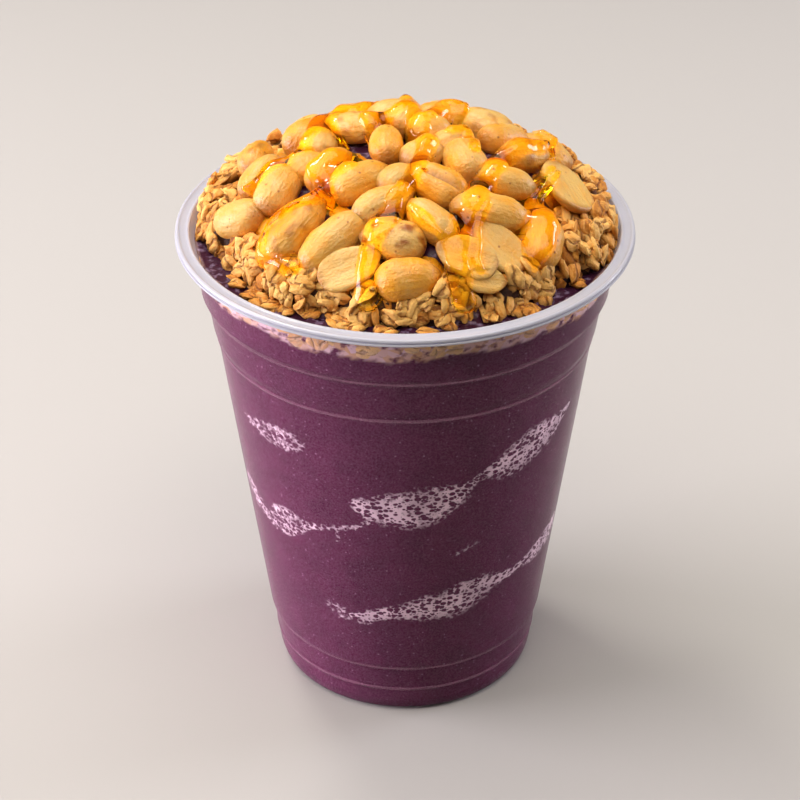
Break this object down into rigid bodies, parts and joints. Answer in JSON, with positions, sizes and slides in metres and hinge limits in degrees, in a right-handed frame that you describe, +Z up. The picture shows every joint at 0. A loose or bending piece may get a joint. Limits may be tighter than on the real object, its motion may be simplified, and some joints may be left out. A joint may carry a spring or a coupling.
{
  "type": "acai cup",
  "caption": "Clear flared takeaway cup filled with frozen acai, topped with a ring of oat granola and a mound of blanched peanuts under a thick honey drizzle.",
  "frame": {"origin": "middle of the cup's foot ring, on the surface that the cup stands on", "axes": "+Z up along the cup's axis; -Y towards the front, where the acai shows between the rim and the granola; +X to the right seen from the front"},
  "size_m": [0.095, 0.095, 0.1289],
  "materials": {
    "cup": "clear moulded polypropylene, faintly milky, glossy",
    "acai": "frozen acai pulp: smooth, dense, dark purple, wet on top",
    "granola": "toasted rolled oats, dry and flaky",
    "peanuts": "blanched roasted peanuts, waxy",
    "honey": "thick clear honey, wet and glossy"
  },
  "bodies": {
    "root": {"cup": "cup", "acai": "acai", "granola": "granola", "peanuts": "peanuts"}
  },
  "joints": []
}
